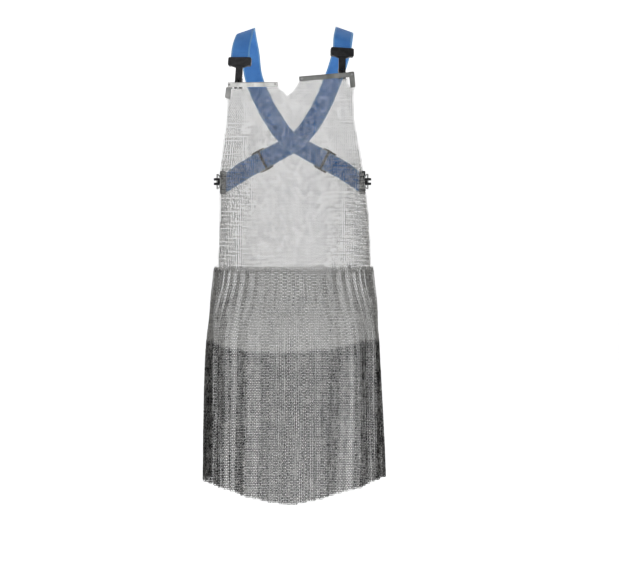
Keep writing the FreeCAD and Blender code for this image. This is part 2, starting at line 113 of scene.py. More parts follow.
def smooth(x, low, high):
    t = np.clip((x - low) / (high - low), 0, 1)
    return t * t * (3 - 2 * t)


def turns(x, length):
    """Angle at x of a wave that repeats after each length."""
    return x * 2 * math.pi / length


def unit(vector):
    return vector / np.linalg.norm(vector)


def unit_rows(vectors):
    return vectors / np.linalg.norm(vectors, axis=1)[:, None]


def distance_along(points):
    """Length of a line of points, from its start to each of them."""
    steps = np.linalg.norm(np.diff(points, axis=0), axis=1)
    return np.concatenate([[0], np.cumsum(steps)])


def add_object(name, data):
    obj = bpy.data.objects.new(name, data)
    bpy.context.scene.collection.objects.link(obj)
    return obj


# ---------------------------------------------------------------- materials
def new_material(name, colour, roughness, metallic=0.0):
    mat = bpy.data.materials.new(name)
    mat.use_nodes = True
    shader = mat.node_tree.nodes["Principled BSDF"]
    shader.inputs["Base Color"].default_value = (*colour, 1)
    shader.inputs["Roughness"].default_value = roughness
    shader.inputs["Metallic"].default_value = metallic
    return mat, mat.node_tree, shader


def node(tree, kind, **settings):
    made = tree.nodes.new(kind)
    for name, value in settings.items():
        if name in made.inputs:
            made.inputs[name].default_value = value
        else:
            setattr(made, name, value)
    return made


def math_node(tree, kind, *values):
    """A maths node on numbers and on other nodes' outputs."""
    made = node(tree, "ShaderNodeMath", operation=kind)
    for socket, value in zip(made.inputs, values):
        if isinstance(value, (int, float)):
            socket.default_value = value
        else:
            tree.links.new(value, socket)
    return made.outputs["Value"]


def object_noise(tree, scale, detail=3.0, stretch=(1, 1, 1)):
    """Noise in the object's own metres, so it keeps its place when the body moves."""
    place = node(tree, "ShaderNodeTexCoord")
    mapping = node(tree, "ShaderNodeMapping", Scale=stretch)
    noise = node(tree, "ShaderNodeTexNoise", Scale=scale, Detail=detail)
    tree.links.new(place.outputs["Object"], mapping.inputs["Vector"])
    tree.links.new(mapping.outputs["Vector"], noise.inputs["Vector"])
    return noise.outputs["Fac"]


def ramp(tree, source, low, high, start=0.35, end=0.65):
    made = node(tree, "ShaderNodeValToRGB")
    first, last = made.color_ramp.elements[0], made.color_ramp.elements[1]
    first.position, last.position = start, end
    first.color, last.color = (*low, 1), (*high, 1)
    tree.links.new(source, made.inputs["Fac"])
    return made.outputs["Color"]


def spread(tree, source, low, high):
    made = node(tree, "ShaderNodeMapRange")
    made.inputs["To Min"].default_value = low
    made.inputs["To Max"].default_value = high
    tree.links.new(source, made.inputs["Value"])
    return made.outputs["Result"]


def bump(tree, shader, height, strength, distance):
    made = node(tree, "ShaderNodeBump", Strength=strength, Distance=distance)
    tree.links.new(height, made.inputs["Height"])
    tree.links.new(made.outputs["Normal"], shader.inputs["Normal"])


def steel(name, low, high, rough, grain=900, stretch=(1, 1, 1)):
    """Stainless steel with fine scratches and uneven polish."""
    mat, tree, shader = new_material(name, high, rough[0], 1.0)
    blotch = object_noise(tree, 60, 4)
    scratch = object_noise(tree, grain, 2, stretch)
    tree.links.new(ramp(tree, blotch, low, high), shader.inputs["Base Color"])
    tree.links.new(spread(tree, scratch, *rough), shader.inputs["Roughness"])
    bump(tree, shader, scratch, strength=0.15, distance=0.0001)
    return mat


def black_plastic():
    """Moulded black plastic: faint orange-peel skin, slightly scuffed to grey."""
    mat, tree, shader = new_material("black_plastic", (0.012, 0.012, 0.014), 0.35)
    scuff = object_noise(tree, 140, 5)
    skin = object_noise(tree, 1600, 2)
    tree.links.new(ramp(tree, scuff, (0.008, 0.008, 0.01), (0.028, 0.028, 0.031)),
                   shader.inputs["Base Color"])
    tree.links.new(spread(tree, scuff, 0.28, 0.5), shader.inputs["Roughness"])
    bump(tree, shader, skin, strength=0.12, distance=0.0001)
    return mat


def webbing(half_width):
    """Woven polyester: ribs across and twill lines along, painted darker in their grooves as
    shade, and selvedges painted lighter as a highlight.

    It needs the web UV map."""
    rib_step, twill_step, selvedge = 0.0016, 0.0022, 0.0032
    mat, tree, shader = new_material("webbing_blue", (0.03, 0.16, 0.55), 0.6)
    shader.inputs["Sheen Weight"].default_value = 0.1
    shader.inputs["Sheen Roughness"].default_value = 0.4
    place = node(tree, "ShaderNodeUVMap", uv_map="web")
    split = node(tree, "ShaderNodeSeparateXYZ")
    tree.links.new(place.outputs["UV"], split.inputs["Vector"])
    across, along = split.outputs["X"], split.outputs["Y"]

    def wave(source, step):
        return math_node(tree, "SINE", math_node(tree, "MULTIPLY", source, 2 * math.pi / step))

    ribs = wave(along, rib_step)
    twill = wave(math_node(tree, "ADD", across, along), twill_step)
    cloth = math_node(tree, "ADD", math_node(tree, "MULTIPLY", ribs, 0.6),
                      math_node(tree, "MULTIPLY", twill, 0.5))
    # A band along each edge gets a lighter blue: painted highlight of the rounded edges.
    edge = math_node(tree, "GREATER_THAN", math_node(tree, "ABSOLUTE", across),
                     half_width - selvedge)
    fade = object_noise(tree, 35, 4)
    body = ramp(tree, fade, (0.065, 0.28, 0.80), (0.095, 0.36, 0.92))
    painted_rim_highlight = ramp(tree, fade, (0.18, 0.48, 0.92), (0.26, 0.56, 0.97))
    mix = node(tree, "ShaderNodeMix", data_type="RGBA")
    tree.links.new(edge, mix.inputs["Factor"])
    tree.links.new(body, mix.inputs["A"])
    tree.links.new(painted_rim_highlight, mix.inputs["B"])
    # The weave's low places, from the same relief as the bump, are painted darker: painted shade
    # in the grooves.
    shade = ramp(tree, spread(tree, cloth, 0.0, 1.0), (0.55, 0.55, 0.55), (1, 1, 1), 0.0, 1.0)
    dark = node(tree, "ShaderNodeMix", data_type="RGBA", blend_type="MULTIPLY")
    dark.inputs["Factor"].default_value = 0.35
    tree.links.new(mix.outputs["Result"], dark.inputs["A"])
    tree.links.new(shade, dark.inputs["B"])
    tree.links.new(dark.outputs["Result"], shader.inputs["Base Color"])
    bump(tree, shader, cloth, strength=0.5, distance=0.0003)
    return mat


def thread():
    mat, tree, shader = new_material("stitch_thread", (0.05, 0.22, 0.62), 0.5)
    twist = object_noise(tree, 2500, 1, (1, 1, 3))
    tree.links.new(ramp(tree, twist, (0.04, 0.18, 0.55), (0.14, 0.38, 0.8)),
                   shader.inputs["Base Color"])
    bump(tree, shader, twist, strength=0.3, distance=0.0002)
    return mat


def ring_steel(name, dark, light, rough):
    """Ring wire: each ring has its own tone, and the cloth dulls in broad patches."""
    patch_share = 0.7
    mat, tree, shader = new_material(name, (light,) * 3, rough[0], 1.0)
    tone = node(tree, "ShaderNodeAttribute", attribute_name="tone")
    patch = object_noise(tree, 22, 3)
    total = math_node(tree, "MULTIPLY_ADD", patch, patch_share, tone.outputs["Fac"])
    low, high = ((c, c * 0.99, c * 0.955) for c in (dark, light))
    tree.links.new(ramp(tree, total, low, high, 0.3, 1.3), shader.inputs["Base Color"])
    scratch = object_noise(tree, 1500, 2)
    tree.links.new(spread(tree, scratch, *rough), shader.inputs["Roughness"])
    return mat


POLISHED = steel("polished_steel", (0.62, 0.62, 0.60), (0.86, 0.86, 0.84), (0.08, 0.22),
                 700, (0.2, 1, 3))
GREY_STEEL = steel("worn_steel", (0.22, 0.225, 0.215), (0.36, 0.365, 0.35), (0.3, 0.5),
                   800, (0.3, 1, 2))
FITTING = steel("fitting_steel", (0.34, 0.34, 0.335), (0.52, 0.52, 0.51), (0.22, 0.42))
PLASTIC = black_plastic()
WEBBING = webbing(WEB_HALF)
THREAD = thread()
BIB_STEEL = ring_steel("bib_wire", 0.06, 0.85, (0.15, 0.42))
SKIRT_STEEL = ring_steel("skirt_wire", 0.01, 0.50, (0.2, 0.45))


# ---------------------------------------------------------------- ring mesh
def ring_template():
    """Middle line, way out to the wire's skin, and faces of one ring lying in the XY plane."""
    a = turns(np.arange(RING_STEPS), RING_STEPS)
    b = turns(np.arange(WIRE_STEPS), WIRE_STEPS) + math.pi
    a, b = np.meshgrid(a, b, indexing="ij")
    middle = np.stack([RING_R * np.cos(a), RING_R * np.sin(a), np.zeros_like(a)], -1)
    skin = np.stack([np.cos(b) * np.cos(a), np.cos(b) * np.sin(a), np.sin(b)], -1)
    i, j = np.meshgrid(np.arange(RING_STEPS), np.arange(WIRE_STEPS), indexing="ij")
    i2, j2 = (i + 1) % RING_STEPS, (j + 1) % WIRE_STEPS
    corners = [i * WIRE_STEPS + j, i2 * WIRE_STEPS + j, i2 * WIRE_STEPS + j2, i * WIRE_STEPS + j2]
    return (middle.reshape(-1, 3), skin.reshape(-1, 3) * WIRE_FILL,
            np.stack(corners, -1).reshape(-1, 4))


def ring_object(name, centres, across, normals, wires, mat, tones):
    """One object holding many rings.

    Each ring has a centre, a direction across it, its own normal, a wire radius and a tone."""
    middle, skin, faces = ring_template()
    points = middle[None] + skin[None] * wires[:, None, None]
    side = np.cross(normals, across)
    turn = np.stack([across, side, normals], 1)
    verts = np.einsum("npk,nkc->npc", points, turn) + centres[:, None]
    count, size = len(centres), len(middle)
    mesh = bpy.data.meshes.new(name)
    mesh.vertices.add(count * size)
    mesh.vertices.foreach_set("co", verts.astype(np.float32).ravel())
    all_faces = (faces[None] + (np.arange(count) * size)[:, None, None]).reshape(-1, 4)
    mesh.loops.add(all_faces.size)
    mesh.loops.foreach_set("vertex_index", all_faces.astype(np.int32).ravel())
    mesh.polygons.add(len(all_faces))
    mesh.polygons.foreach_set("loop_start", np.arange(len(all_faces), dtype=np.int32) * 4)
    mesh.materials.append(mat)
    mesh.polygons.foreach_set("use_smooth", np.ones(len(all_faces), bool))
    tone = mesh.attributes.new("tone", "FLOAT", "POINT")
    tone.data.foreach_set("value", np.repeat(tones, size).astype(np.float32))
    mesh.update(calc_edges=True)
    mesh.validate()
    return add_object(name, mesh)


def surface_frames(place, s, t):
    """Position, way down and outward normal of a surface at flat places (s, t)."""
    here = place(s, t)
    across = unit_rows(place(s + FRAME_STEP, t) - place(s - FRAME_STEP, t))
    down = place(s, t + FRAME_STEP) - place(s, t - FRAME_STEP)
    normal = unit_rows(np.cross(across, down))
    return here, np.cross(normal, across), normal


def weave(name, place, s, t, parity, wires, mat, shade, tilt, uneven=0.22):
    """Rings at flat places on a surface; odd and even rows lean opposite ways.

    shade gives each ring's tone before its own variation.  The first object is given back."""
    here, down, normal = surface_frames(place, s, t)
    other = np.cross(normal, down)
    lean = np.where(parity == 1, tilt, -tilt) + RANDOM.normal(0, TILT_SPREAD, len(s))
    facing = normal * np.cos(lean)[:, None] + other * np.sin(lean)[:, None]
    turn = RANDOM.uniform(0, 2 * math.pi, len(s))
    side = np.cross(facing, down)
    axis = down * np.cos(turn)[:, None] + side * np.sin(turn)[:, None]
    tones = shade + RANDOM.normal(0, uneven, len(s))
    order = np.lexsort((s, t))
    made = []
    for k in range(0, len(s), MAX_RINGS):
        pick = order[k:k + MAX_RINGS]
        obj = ring_object(f"{name}_{k // MAX_RINGS + 1:02d}", here[pick], axis[pick], facing[pick],
                          wires[pick], mat, tones[pick])
        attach(obj, "root")
        made.append(obj)
    return made[0]


def lattice(s_low, s_high, rows, pitch):
    """Flat places of the weave: every other row is shifted by half a pitch."""
    s, t, parity = [], [], []
    for j, depth in enumerate(rows):
        line = np.arange(s_low + (j % 2) * pitch / 2, s_high, pitch)
        s.append(line)
        t.append(np.full(len(line), depth))
        parity.append(np.full(len(line), j % 2))
    return np.concatenate(s), np.concatenate(t), np.concatenate(parity)


def station(z, column, stations):
    """Value of a column of the stations at each height, on a rounded line."""
    heights, values = -stations[:, 0], stations[:, column]
    here = np.interp(-z, heights, values)
    below = np.interp(-z + STATION_BLEND, heights, values)
    above = np.interp(-z - STATION_BLEND, heights, values)
    return (here * 2 + below + above) / 4


def angle_of_arc(s, half_width, depth):
    """Angle round the oval form at which the arc from straight ahead has length s.

    The form is taken to the nearest 0.1 mm, and rows of the same form are worked out together."""
    angles = np.radians(np.linspace(-FORM_REACH, FORM_REACH, ARC_STEPS))
    result = np.empty_like(s)
    keys = np.round(half_width * 1e4) * 1e5 + np.round(depth * 1e4)
    for key in np.unique(keys):
        pick = keys == key
        a, b = half_width[pick][0], depth[pick][0]
        speed = np.hypot(a * np.cos(angles), b * np.sin(angles))
        steps = (speed[1:] + speed[:-1]) / 2 * np.diff(angles)
        length = np.concatenate([[0], np.cumsum(steps)])
        result[pick] = np.interp(s[pick], length - length[ARC_STEPS // 2], angles)
    return result


# ---------------------------------------------------------------- bib
STAY_HALF = 0.0032                      # half the stay's thickness
STAY_TALL = 0.0105
BIB_FOLD, BIB_CREASE, BIB_PULL = 0.0016, 0.0011, 0.0022     # how far the waves stand out
FOLD_RATE, CREASE_RATE, PULL_RATE = 150, 271, 62            # radians for each metre across
BUNCH_STEP, BUNCH_MOVE = 0.0094, 0.00062


def stay_line(side):
    """Outer and inner end of the line where a stay meets the mesh."""
    low, high = (np.array(v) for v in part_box(f"{side}_stay_channel"))
    outer_x, inner_x = (low[0], high[0]) if side == "left" else (high[0], low[0])
    outer_z = high[2] - STAY_TALL if side == "right" else low[2]
    return (np.array((outer_x, high[1] - STAY_HALF, outer_z)),
            np.array((inner_x, low[1] + STAY_HALF, low[2])))


STAY_LINES = {side: stay_line(side) for side in SIDES}


def neck_edge(x):
    """Height of the top edge of the bib: under the stays and round the neck notch."""
    outer_left, inner_left = STAY_LINES["left"]
    outer_right, inner_right = STAY_LINES["right"]
    points = np.array([outer_left[[0, 2]], inner_left[[0, 2]], NECK_LOW, NECK_STEP,
                       inner_right[[0, 2]], outer_right[[0, 2]]])
    return np.interp(x, points[:, 0], points[:, 1])


def bib_place(s, t):
    """Bib surface: s is the arc length from the middle, t the distance down from the origin."""
    z = -t
    a, b = station(z, BIB_WIDE, BIB_STATIONS), station(z, BIB_DEEP, BIB_STATIONS)
    angle = angle_of_arc(s, a, b)
    x, y = a * np.sin(angle), -b * np.cos(angle)
    for side in SIDES:                  # the top edge is drawn straight along each stay
        outer, inner = STAY_LINES[side]
        share = (x - inner[0]) / (outer[0] - inner[0])
        chord = inner[1] + (outer[1] - inner[1]) * share
        near = (smooth(z, inner[2] - 0.035, inner[2]) * smooth(share, -0.35, 0.0)
                * (1 - smooth(share, 1.0, 1.3)))
        y = y + (chord - y) * near
    folds = (BIB_FOLD * np.sin(x * FOLD_RATE + 0.6 + 2.0 * np.sin(t * 9))
             + BIB_CREASE * np.sin(x * CREASE_RATE + t * 14))
    pulls = (BIB_PULL * np.sin((x + 0.55 * t) * PULL_RATE)
             * smooth(t, 0.12, 0.22) * (1 - smooth(t, 0.33, 0.45)))
    y = y + MESH_BACK - (folds + pulls) * smooth(t, 0.11, 0.17)
    return np.stack([x, y, z], 1)


def bib():
    s, t, parity = lattice(-BIB_REACH, BIB_REACH, np.arange(BIB_TOP, BIB_END, ROW), PITCH)
    here = bib_place(s, t)
    x, z = here[:, 0], here[:, 2]
    left, right = (np.interp(-z, -BIB_STATIONS[:, 0], BIB_STATIONS[:, column])
                   for column in (BIB_LEFT, BIB_RIGHT))
    inset = RING_R * 0.6
    inside = (x > left + inset) & (x < right - inset) & (z < neck_edge(x) + 0.001)
    for side in SIDES:                  # no rings where a tail folds over the edge
        low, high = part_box(f"{side}_stay_tail")
        inside &= ~((x > low[0] + 0.004) & (x < high[0] - 0.002) & (z > low[2] + 0.004))
    s, t, parity = s[inside], t[inside], parity[inside]
    # Alternate rows are painted lighter and darker, more so towards the sides: painted highlight
    # and shade of rows that lean opposite ways.
    painted_row_glint = 0.25 + 0.35 * smooth(np.abs(s), 0.05, 0.16)
    bunch = np.sin(turns(t, BUNCH_STEP) + 2.2 * np.sin(s * 19) + 1.2 * np.sin(s * 47 + t * 6))
    t = t + bunch * BUNCH_MOVE * (0.35 + 0.65 * smooth(np.abs(s), 0.03, 0.15))
    s = s + RANDOM.normal(0, RING_JITTER, len(s))
    t = t + RANDOM.normal(0, RING_JITTER, len(t))
    first = weave("bib_rings", bib_place, s, t, parity, np.full(len(s), BIB_WIRE), BIB_STEEL,
                  0.5 + painted_row_glint * (parity - 0.5) * 2, TILT, uneven=0.3)
    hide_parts("bib_mesh")


# ---------------------------------------------------------------- skirt
GATHER_SQUEEZE = 0.19                   # the waist draws the cloth this much narrower
SKIRT_BACK = 0.003                      # room inside the form for the folds
# Each wave of the skirt: its length across, and how far it stands out.
GATHER_WAVE, GATHER_DEEP = 0.0245, 0.0036
FOLD_WAVE, FOLD_DEEP = 0.062, 0.0038
RIPPLE_WAVE, RIPPLE_DEEP, RIPPLE_VARIES = 0.0155, 0.0010, 0.0004
DRAPE_WAVE, DRAPE_DEEP = 0.118, 0.0050
LOW_LINE, LOW_LINE_RISE, LOW_LINE_MIDDLE = 0.686, 0.026, 0.03
# The second value darkens the rings below the low line: painted shade.
UPPER_TONE, LOW_PAINTED_SHADE = 0.62, 0.55
WAIST_ROWS, WAIST_LEFT, WAIST_RIGHT = (0.5065, 0.5095, 0.5125), -0.212, 0.222
WAIST_TONE = 0.6
SCALLOP_WAVE, SCALLOP_LIFT = 0.0205, 0.0016


def hem_depth(s):
    """Distance down to the hem: it hangs lowest a little left of the middle."""
    side = np.abs(s + HEM_MIDDLE) / (SKIRT_HALF + HEM_MIDDLE)
    return -HEM_LOW - (HEM_SIDE - HEM_LOW) * smooth(side, 0.0, 1.0) ** 0.8


def skirt_place(s, t):
    """Skirt surface: s across the hanging cloth from its middle, t down from the origin."""
    z = -t
    a, b = station(z, SKIRT_WIDE, SKIRT_STATIONS), station(z, SKIRT_DEEP, SKIRT_STATIONS)
    down = t + SKIRT_TOP
    squeeze = 1.0 - GATHER_SQUEEZE * (1 - smooth(down, 0.0, 0.16))
    angle = angle_of_arc(s * squeeze, a, b)
    gather = (np.sin(turns(s, GATHER_WAVE) + 1.3 * np.sin(s * 31)) * GATHER_DEEP
              * (1 - smooth(down, 0.01, 0.13)))
    fold = (np.sin(turns(s, FOLD_WAVE) + 1.1 * np.sin(s * 17 + 1.0) + 0.5 * np.sin(t * 7))
            * FOLD_DEEP * smooth(down, 0.02, 0.2))
    ripple = np.sin(turns(s, RIPPLE_WAVE) + 3.4 * np.sin(s * 29 + 0.5 * np.sin(t * 11)))
    ripple = (ripple * (RIPPLE_DEEP + RIPPLE_VARIES * np.sin(s * 41 + 1))
              * smooth(down, 0.03, 0.16))
    drape = (np.sin(turns(s, DRAPE_WAVE) + 0.7 + 0.6 * np.sin(t * 5)) * DRAPE_DEEP
             * smooth(down, 0.1, 0.4))
    out = gather + fold + drape + ripple - MESH_BACK - SKIRT_BACK
    x, y = a * np.sin(angle), -b * np.cos(angle)
    nx, ny = x / a ** 2, y / b ** 2
    size = np.hypot(nx, ny)
    return np.stack([x + nx / size * out, y + ny / size * out, z], 1)


def lower_zone(s, t):
    """1 below the line, lowest in the middle, under which the wire is thicker and painted darker:
    painted shade.
    """
    out = np.clip(np.abs(s + LOW_LINE_MIDDLE) / 0.2, 0, 1)
    line = LOW_LINE - LOW_LINE_RISE * out ** 2
    return smooth(t, line - 0.004, line + 0.004)


def skirt():
    rows = np.arange(-SKIRT_TOP + 0.002, -HEM_LOW, ROW)
    s, t, parity = lattice(-SKIRT_HALF, SKIRT_HALF, rows, SKIRT_PITCH)
    keep = t < hem_depth(s)
    s, t, parity = s[keep], t[keep], parity[keep]
    low = lower_zone(s, t)
    wires = SKIRT_WIRE + (LOW_WIRE - SKIRT_WIRE) * low
    # Rings below the low line get a darker tone: painted shade.
    first = weave("skirt_rings", skirt_place, s, t, parity, wires, SKIRT_STEEL,
                  UPPER_TONE - LOW_PAINTED_SHADE * low, SKIRT_TILT)
    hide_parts("skirt_mesh")


def waist_join():
    """Three close rows that hang the skirt from the bib, with the gathers as scallops."""
    s, t, parity = lattice(WAIST_LEFT, WAIST_RIGHT, WAIST_ROWS, WAIST_PITCH)

    def place(u, v):
        lift = SCALLOP_LIFT * np.sin(turns(u, SCALLOP_WAVE))
        here = bib_place(u, np.minimum(v, 0.508) + lift * 0.5)
        here[:, 2] = -v + lift
        here[:, 1] -= 0.0012 + 0.0008 * np.sin(turns(u, SCALLOP_WAVE))
        return here

    first = weave("waist_rings", place, s, t, parity, np.full(len(s), SKIRT_WIRE), SKIRT_STEEL,
                  np.full(len(s), WAIST_TONE), TILT)
    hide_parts("waist_join_rings")


# ---------------------------------------------------------------- webbing
SPLINE_STEPS = 24


def spline(points, count, first_way=None, last_way=None):
    """Even points on a smooth line through the given ones.

    The line may set off and arrive in given directions."""
    p = np.array(points, float)
    before, after = 2 * p[0] - p[1], 2 * p[-1] - p[-2]
    if first_way is not None:
        reach = np.linalg.norm(p[1, :3] - p[0, :3])
        before[:3] = p[1, :3] - np.array(first_way) * 2 * reach
    if last_way is not None:
        reach = np.linalg.norm(p[-1, :3] - p[-2, :3])
        after[:3] = p[-2, :3] + np.array(last_way) * 2 * reach
    p = np.vstack([before, p, after])
    line = []
    for i in range(1, len(p) - 2):
        t = np.linspace(0, 1, SPLINE_STEPS, endpoint=False)[:, None]
        a, b, c, d = p[i - 1], p[i], p[i + 1], p[i + 2]
        line.append(0.5 * (2 * b + (c - a) * t + (2 * a - 5 * b + 4 * c - d) * t ** 2
                           + (3 * b - a - 3 * c + d) * t ** 3))
    line = np.vstack(line + [p[-2:-1]])
    length = distance_along(line)
    even = np.linspace(0, length[-1], count)
    return np.stack([np.interp(even, length, line[:, k]) for k in range(line.shape[1])], 1)


def web_section():
    """Across and through the webbing: flat faces with rounded, slightly thicker selvedges."""
    half, thick = WEB_HALF, WEB_THICK / 2
    corner, bead, flat = 0.0003, 0.0012, 0.0030             # distances in from the edge
    upper = [(-half, 0), (-half + corner, thick * 0.75), (-half + bead, thick * 1.05),
             (-half + flat, thick), (-half * 0.5, thick), (0, thick * 0.96), (half * 0.5, thick),
             (half - flat, thick), (half - bead, thick * 1.05), (half - corner, thick * 0.75),
             (half, 0)]
    return np.array(upper + [(x, -y) for x, y in reversed(upper[1:-1])])


def web_mesh(name, centres, outward):
    """Webbing along centres, one face turned to outward.

    Its UV map holds metres across and along."""
    along = unit_rows(np.gradient(centres, axis=0))
    across = unit_rows(np.cross(along, outward))
    out = np.cross(across, along)
    section = web_section()
    verts = (centres[:, None] + across[:, None] * section[None, :, 0:1]
             + out[:, None] * section[None, :, 1:2])
    rows, ring = len(centres), len(section)
    faces = [(i * ring + j, i * ring + (j + 1) % ring,
              (i + 1) * ring + (j + 1) % ring, (i + 1) * ring + j)
             for i in range(rows - 1) for j in range(ring)]
    faces += [tuple(range(ring)), tuple((rows - 1) * ring + j for j in reversed(range(ring)))]
    mesh = bpy.data.meshes.new(name)
    mesh.from_pydata(verts.reshape(-1, 3).tolist(), [], faces)
    length = distance_along(centres)
    uv = mesh.uv_layers.new(name="web")
    for poly in mesh.polygons:
        poly.use_smooth = True
        for k in poly.loop_indices:
            v = mesh.loops[k].vertex_index
            uv.data[k].uv = (section[v % ring][0], length[v // ring])
    mesh.materials.append(WEBBING)
    obj = add_object(name, mesh)
    return obj


def joint(name):
    return next(j for j in frame["joints"] if j["name"] == name)


def hook_frame(side, place):
    """Rod centre and axes of a hook, across, through and along its stem.

    They are found from its CAD pin and its joints."""
    web_low, web_high = (np.array(v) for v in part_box(f"{side}_{place}_web_pin"))
    centre = np.array(joint(f"{side}_{place}_hook_swing")["pos_m"])
    up = unit((web_low + web_high) / 2 - centre)
    across = unit(-np.array(joint(f"{side}_{place}_gate_press")["axis"]))
    return centre, across, np.cross(up, across), up


# Heights above the rod's centre, along the stem.
WEB_PIN_UP, LOOP_OPEN, HEAD_TOP, LOOP_SEWN, LOOP_TOP = 0.053, 0.057, 0.062, 0.066, 0.073
LOOP_MIDDLE, SEWN_MIDDLE = 0.0024, 0.0008   # half the gap between the layers' middles
LOOP_POINTS = 90


def web_loop(side, place):
    """Webbing folded round the cross pin and sewn to itself above the hook's head."""
    centre, across, through, up = hook_frame(side, place)
    half_turn = np.linspace(0, math.pi, 9)
    path = [(-SEWN_MIDDLE, LOOP_TOP), (-SEWN_MIDDLE, LOOP_SEWN),
            (-LOOP_MIDDLE, HEAD_TOP - 0.001), (-LOOP_MIDDLE, LOOP_OPEN)]
    path += [(-LOOP_MIDDLE * math.cos(a), WEB_PIN_UP - LOOP_MIDDLE * math.sin(a))
             for a in half_turn]
    path += [(LOOP_MIDDLE, LOOP_OPEN), (LOOP_MIDDLE, HEAD_TOP - 0.001),
             (SEWN_MIDDLE, LOOP_SEWN), (SEWN_MIDDLE, LOOP_TOP)]
    flat = spline(path, LOOP_POINTS)
    centres = centre + through * flat[:, 0:1] + up * flat[:, 1:2]
    tangent = unit_rows(np.gradient(flat, axis=0))
    outward = through * -tangent[:, 1:2] + up * tangent[:, 0:1]
    obj = web_mesh(f"{side}_{place}_loop", centres, outward * -1)
    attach(obj, f"{side}_{place}_clip")
    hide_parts(f"{side}_{place}_web_loop")
    stitches(f"{side}_{place}_stitches", centre + up * (LOOP_TOP - 0.0022), across, through,
             f"{side}_{place}_clip")
    return centre, through, up


STITCH_ROWS = (0.0, -0.0028)
STITCH_FIRST, STITCH_LAST, STITCH_STEP = -0.0172, 0.0173, 0.0026
STITCH_HALF, STITCH_OUT, STITCH_SIDES = 0.0009, 0.0017, 5
THREAD_RADIUS, THREAD_END, THREAD_SINK = 0.00036, 0.00022, 0.0002


def stitches(name, middle, across, through, body):
    """Two rows of short raised threads on both faces of the sewn end."""
    along = np.cross(across, through)
    n = STITCH_SIDES
    verts, faces = [], []

    def one_stitch(centre, face):
        base = len(verts)
        for end in (-1, -0.5, 0.5, 1):
            tip = abs(end) == 1
            wide = THREAD_END if tip else THREAD_RADIUS
            for k in range(n):
                a = 2 * math.pi * k / n
                p = centre + across * end * STITCH_HALF + along * math.cos(a) * wide
                p = p + through * face * (math.sin(a) * wide - THREAD_SINK * tip)
                verts.append(tuple(p))
        for low in (base, base + n, base + 2 * n):
            for k in range(n):
                k2 = (k + 1) % n
                faces.append((low + k, low + k2, low + n + k2, low + n + k))
        faces.append(tuple(base + k for k in range(n)))
        faces.append(tuple(base + 4 * n - 1 - k for k in range(n)))

    for face in (-1, 1):
        for row in STITCH_ROWS:
            for x in np.arange(STITCH_FIRST, STITCH_LAST, STITCH_STEP):
                one_stitch(middle + across * x + along * row + through * face * STITCH_OUT, face)
    mesh = bpy.data.meshes.new(name)
    mesh.from_pydata(verts, [], faces)
    for poly in mesh.polygons:
        poly.use_smooth = True
    mesh.materials.append(THREAD)
    obj = add_object(name, mesh)
    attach(obj, body)


SHOULDER_X = {"left": -0.101, "right": 0.111}
SHOULDER_Y = -0.005
SHOULDER_Z = {"left": 0.007, "right": 0.009}
SHOULDER_TILT = 0.36
CROSS_LIFT = {"left": 0.0, "right": 0.005}  # the right strap crosses over the left one
OVER_SHOULDER = (0, 1, 0)
ADJUST_START, ADJUST_END = (0.026, 0.127, -0.243), (0.112, 0.106, -0.292)
SLIDER_STRAIGHT = (0.1, 0.36, 0.64, 0.9)    # shares of the slider's length, on a straight line
RETURN_LIFT = 0.0020
FRONT_POINTS, BACK_POINTS = 46, 220
RETURN_FROM, RETURN_TO = -64, -4        # points beside which the returned layer lies


def strap_line(points, faces, count, first_way, last_way):
    """Middle line and outward faces of a strap through the given points."""
    both = spline([tuple(p) + tuple(f) for p, f in zip(points, faces)], count,
                  first_way, last_way)
    return both[:, :3], both[:, 3:]


def strap_front(side, hook):
    """From the front hook over the collar bone to the top of the shoulder."""
    centre, through, up = hook
    start = centre + up * LOOP_TOP
    x, z = SHOULDER_X[side], SHOULDER_Z[side]
    middle = (start[0] + (x - start[0]) * 0.6, -0.040, start[2] + (z - start[2]) * 0.74)
    tilt = SIGN[side] * SHOULDER_TILT
    points = [start, middle, (x, SHOULDER_Y, z)]
    faces = [-through, (tilt * 0.7, -0.6, 0.75), (tilt, -0.05, 1)]
    line, outward = strap_line(points, faces, FRONT_POINTS, up, OVER_SHOULDER)
    obj = web_mesh(f"{side}_strap_front", line, outward)
    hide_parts(f"{side}_shoulder_strap_front")
    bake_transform(obj)


